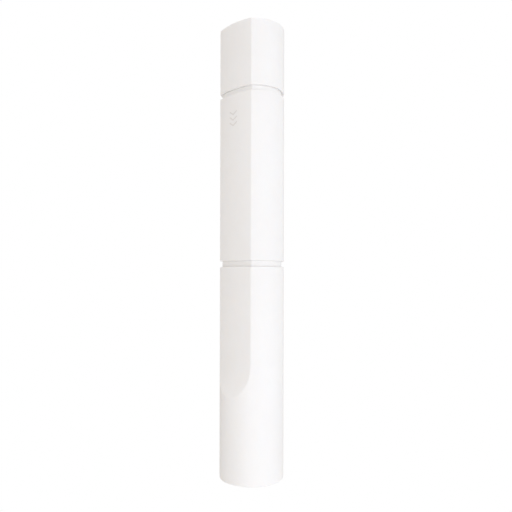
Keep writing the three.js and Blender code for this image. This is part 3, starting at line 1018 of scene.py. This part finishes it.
def foam_strip(name, cad_name, side, material):
    """A foam strip against the liner's side wall, rounded along its edges and at its ends."""
    low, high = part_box(cad_name)
    length = high.z - low.z
    outer = RADIUS - LINER_INSET - LINER_WALL - 0.15 * MM
    thick, least, end_radius = 1.3 * MM, 0.08, 1.2 * MM
    half_angle = math.radians(18)
    steps_along, steps_across = 28, 18
    rings = []
    for i in range(steps_along + 1):
        t = i / steps_along
        z = low.z + length * t
        swell = max(round_end(min(t, 1 - t) * length / end_radius), least)
        points = []
        for j in range(steps_across + 1):
            v = -1 + 2 * j / steps_across
            height = thick * swell * (0.25 + 0.75 * round_end((1 - abs(v)) * 6))
            angle = half_angle * v
            r = outer - height
            points.append((side * r * math.cos(angle), AXIS_Y + r * math.sin(angle), z))
        for j in range(steps_across, -1, -1):
            angle = half_angle * (-1 + 2 * j / steps_across)
            points.append((side * outer * math.cos(angle), AXIS_Y + outer * math.sin(angle), z))
        rings.append(points if side < 0 else list(reversed(points)))
    return lofted(name, rings, material, ends=True)


def rounded_slab(name, centre, half_x, half_z, front, back, corner, edge, material):
    """A flat pad in the X-Z plane with round corners and softened edges."""
    rings = []
    rows = rounding(0, back, edge, -edge, 3) + rounding(0, front, edge, edge, 3, turned_over=True)
    for shrink, y in rows:
        r = max(corner - shrink, 0.1 * MM)
        out_x, out_z = half_x - shrink - r, half_z - shrink - r
        points = []
        for cx, cz, start in ((1, 1, 0), (-1, 1, 90), (-1, -1, 180), (1, -1, 270)):
            for t in quarter(6, start):
                x = centre.x + cx * out_x + r * math.cos(t)
                points.append((x, y, centre.z + cz * out_z + r * math.sin(t)))
        rings.append(points)
    return lofted(name, rings, material, ends=True)


# ---- Mark ------------------------------------------------
def pull_mark(material):
    """Three plain chevrons that point down, printed near the top of the middle shell's facet."""
    centre_z = FOOT + 330.8 * MM
    half_width, rise, stroke, gap = 5.8 * MM, 2.9 * MM, 1.3 * MM, 5.0 * MM
    sunk, raised = 0.05 * MM, 0.06 * MM
    steps = 10
    points, faces = [], []
    for k in (-1, 0, 1):
        tip_z = centre_z + k * gap
        base = len(points)
        for i in range(2 * steps + 1):
            x = half_width * (i / steps - 1)
            z = tip_z + rise * abs(x) / half_width
            angle = math.asin(x / RADIUS)
            for dz in (-stroke / 2, stroke / 2):
                points += [skin_point(angle, inset, z + dz) for inset in (sunk, -raised)]
        for i in range(2 * steps):
            a, b = base + 4 * i, base + 4 * (i + 1)
            for p, q in ((0, 1), (1, 3), (3, 2), (2, 0)):
                faces.append((a + q, a + p, b + p, b + q))
        faces.append((base, base + 1, base + 3, base + 2))
        end = base + 8 * steps
        faces.append((end, end + 2, end + 3, end + 1))
    return make_object("pull_mark", points, faces, material, smooth=False)


# ---- Materials in use ------------------------------------
GLASS_WEAVE = (1.25 * MM, 1.25 * MM)  # warp and weft pitch
WEBBING_WEAVE = (1.7 * MM, 0.95 * MM)
THREAD_WEAVE = (0.5 * MM, 0.5 * MM)
GLASS_RELIEF = 0.32 * MM
GLASS_SHEEN = (1, 0.99, 0.95)

white = moulded_plastic("white_satin", (0.925, 0.915, 0.915), (0.945, 0.938, 0.94), 0.46)
# The liner's white is a little lighter than the shells': painted light, to lift the shade in the narrow
# grooves where the liner shows.
liner_white_painted_light = moulded_plastic("liner_white_painted_light", (0.94, 0.93, 0.925), (0.962, 0.955, 0.95), 0.52)
rubber = specked(
    "ring_rubber", 400.0, 4.0, (0.030, 0.030, 0.033), (0.062, 0.062, 0.066), (0.55, 0.8), 0.05 * MM
)
foam = cellular("grey_foam", (0.20, 0.205, 0.215), (0.085, 0.088, 0.095), 0.55 * MM, 0.15 * MM)
steel = turned_metal("zinc_steel", (0.50, 0.51, 0.53), (0.66, 0.67, 0.69), 0.34)
brass = turned_metal("turned_brass", (0.56, 0.38, 0.14), (0.74, 0.53, 0.24), 0.3)
# In each woven material the first colour is painted shade for the weave's gaps, and the second is the
# yarns' own colour.
cloth = woven(
    "glass_cloth", (0.52, 0.50, 0.45), (0.88, 0.865, 0.82),
    GLASS_WEAVE, GLASS_RELIEF, 0.58, 0.15, GLASS_SHEEN,
)
hem_cloth = woven(
    "hem_cloth", (0.51, 0.49, 0.44), (0.865, 0.85, 0.80),
    GLASS_WEAVE, GLASS_RELIEF, 0.6, 0.15, GLASS_SHEEN,
)
webbing = woven(
    "black_webbing", (0.010, 0.010, 0.012), (0.050, 0.050, 0.056),
    WEBBING_WEAVE, 0.3 * MM, 0.68, 0.35, (0.6, 0.6, 0.65),
)
thread = woven(
    "hem_thread", (0.70, 0.66, 0.55), (0.93, 0.91, 0.83),
    THREAD_WEAVE, 0.05 * MM, 0.6, 0.2, (1, 1, 1),
)
backing = release_paper("release_paper", (0.60, 0.47, 0.25), (0.74, 0.62, 0.38))
ink = specked("mark_ink", 1500.0, 3.0, (0.79, 0.765, 0.755), (0.835, 0.81, 0.80), (0.35, 0.5))


# ---- Putting it together ---------------------------------
def attach(piece, body, slot_name, *replaced):
    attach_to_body(piece, body)
    if replaced:
        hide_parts(*replaced)
    return piece


make_camera()
make_studio()
make_floor()

attach(cap_shell(white), "cap", "white_plastic", "top_cap")
cap_foam = attach(foam_disc(foam), "cap", "grey_foam", "cap_foam_disc")
attach(middle_tube(white), "tube", "white_plastic", "middle_shell")
attach(pull_mark(ink), "tube", "white_plastic")
attach(liner_tube(liner_white_painted_light), "tube", "liner_plastic", "inner_liner")
for place_name in ("sleeve", "cap"):
    cad_name = place_name + "_friction_ring"
    made = friction_ring(place_name + "_grip_ring", cad_name, rubber)
    attach(made, "tube", "ring_rubber", cad_name)
for side_name, side in SIDES:
    cad_name = "grip_pad_" + side_name
    made = foam_strip("foam_strip_" + side_name, cad_name, side, foam)
    attach(made, "tube", "grey_foam", cad_name)
attach(sleeve_shell(white), "sleeve", "white_plastic", "pull_sleeve")
attach(stop_ring(liner_white_painted_light), "sleeve", "liner_plastic", "sleeve_stop_ring")
attach(base_dish(white), "sleeve", "white_plastic", "base_cap")

blanket = attach(rolled_blanket(cloth), "blanket", "glass_cloth", "blanket_roll")
sewn_on = [end_hem_band(hem_cloth), foot_hem_band(hem_cloth), hem_stitches(thread), edge_stitches(thread)]
for piece in sewn_on:
    attach(piece, "blanket", "glass_cloth")
loops, loop_threads = [], []
for side_name, side in SIDES:
    cad_name = "pull_tape_" + side_name
    made = pull_loop("pull_loop_" + side_name, cad_name, side, webbing)
    loops.append(attach(made, "blanket", "tape_webbing", cad_name))
    made = tape_stitches("loop_stitches_" + side_name, cad_name, side, thread)
    loop_threads.append(attach(made, "blanket", "glass_cloth"))

# The pads' backing paper is in two halves with a slit between them, to be peeled off from the middle.
SLIT_HALF = 0.06 * MM
for place_name in ("lower", "upper"):
    cad_name = "adhesive_pad_" + place_name
    low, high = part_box(cad_name)
    middle = (low + high) / 2
    half_x, half_z = (high.x - low.x) / 2, (high.z - low.z) / 2
    face = high.y - PAPER_THICKNESS
    pad = rounded_slab(
        "foam_tape_" + place_name, middle, half_x, half_z, low.y, face, 1.2 * MM, 0.12 * MM, foam
    )
    attach(pad, "tube", "grey_foam", cad_name)
    for side_name, side in SIDES:
        centre = Vector((middle.x + side * (half_x / 2 + SLIT_HALF), middle.y, middle.z))
        paper = rounded_slab(
            "tape_paper_" + place_name + "_" + side_name, centre, half_x / 2 - SLIT_HALF, half_z,
            face, high.y, 0.5 * MM, 0.04 * MM, backing,
        )
        attach(paper, "tube", "grey_foam")

# Five of the CAD's own nodes stay in sight, with their edges softened.
kept = {"wall_bracket": white}
for place_name in ("lower", "upper"):
    kept["bracket_screw_" + place_name] = steel
    kept["bracket_insert_" + place_name] = brass
for name, material in kept.items():
    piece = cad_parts[name]
    piece.data.materials.clear()
    piece.data.materials.append(material)
    joined = piece.modifiers.new("joined_faces", "WELD")
    joined.merge_threshold = 0.001 * MM
    flat = piece.modifiers.new("flat_faces", "DECIMATE")
    flat.decimate_type = "DISSOLVE"
    flat.angle_limit = math.radians(0.5)
    soften = piece.modifiers.new("soft_edges", "BEVEL")
    soften.width = 0.35 * MM if name == "wall_bracket" else 0.08 * MM
    soften.segments = 3
    soften.limit_method = "ANGLE"
    soften.angle_limit = math.radians(35)
